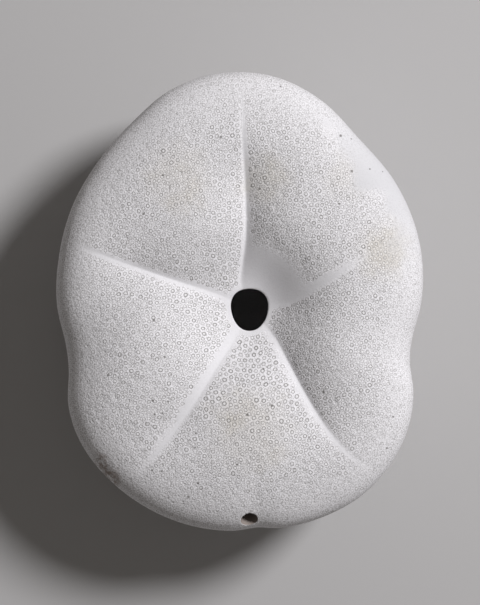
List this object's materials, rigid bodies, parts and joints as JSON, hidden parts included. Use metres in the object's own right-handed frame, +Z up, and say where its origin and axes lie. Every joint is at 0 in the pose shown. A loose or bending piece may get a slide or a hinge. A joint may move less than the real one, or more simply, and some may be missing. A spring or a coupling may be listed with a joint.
{
  "type": "sea biscuit shell",
  "caption": "Hollow, bleached sea biscuit shell with a grooved, lobed mouth face, a round mouth opening and a small vent, lying on its swollen dome with the mouth side up.",
  "frame": {"origin": "middle of the bounding box in plan, at the level of the table it lies on", "axes": "+Z up, away from the table and out of the mouth side; +Y towards the animal's front, along the length; +X across, to the right when the mouth side is seen with the front at the top"},
  "size_m": [0.1032, 0.129, 0.0518],
  "materials": {
    "shell": "matt, bleached calcite"
  },
  "bodies": {
    "root": {"shell": "shell"}
  },
  "joints": []
}
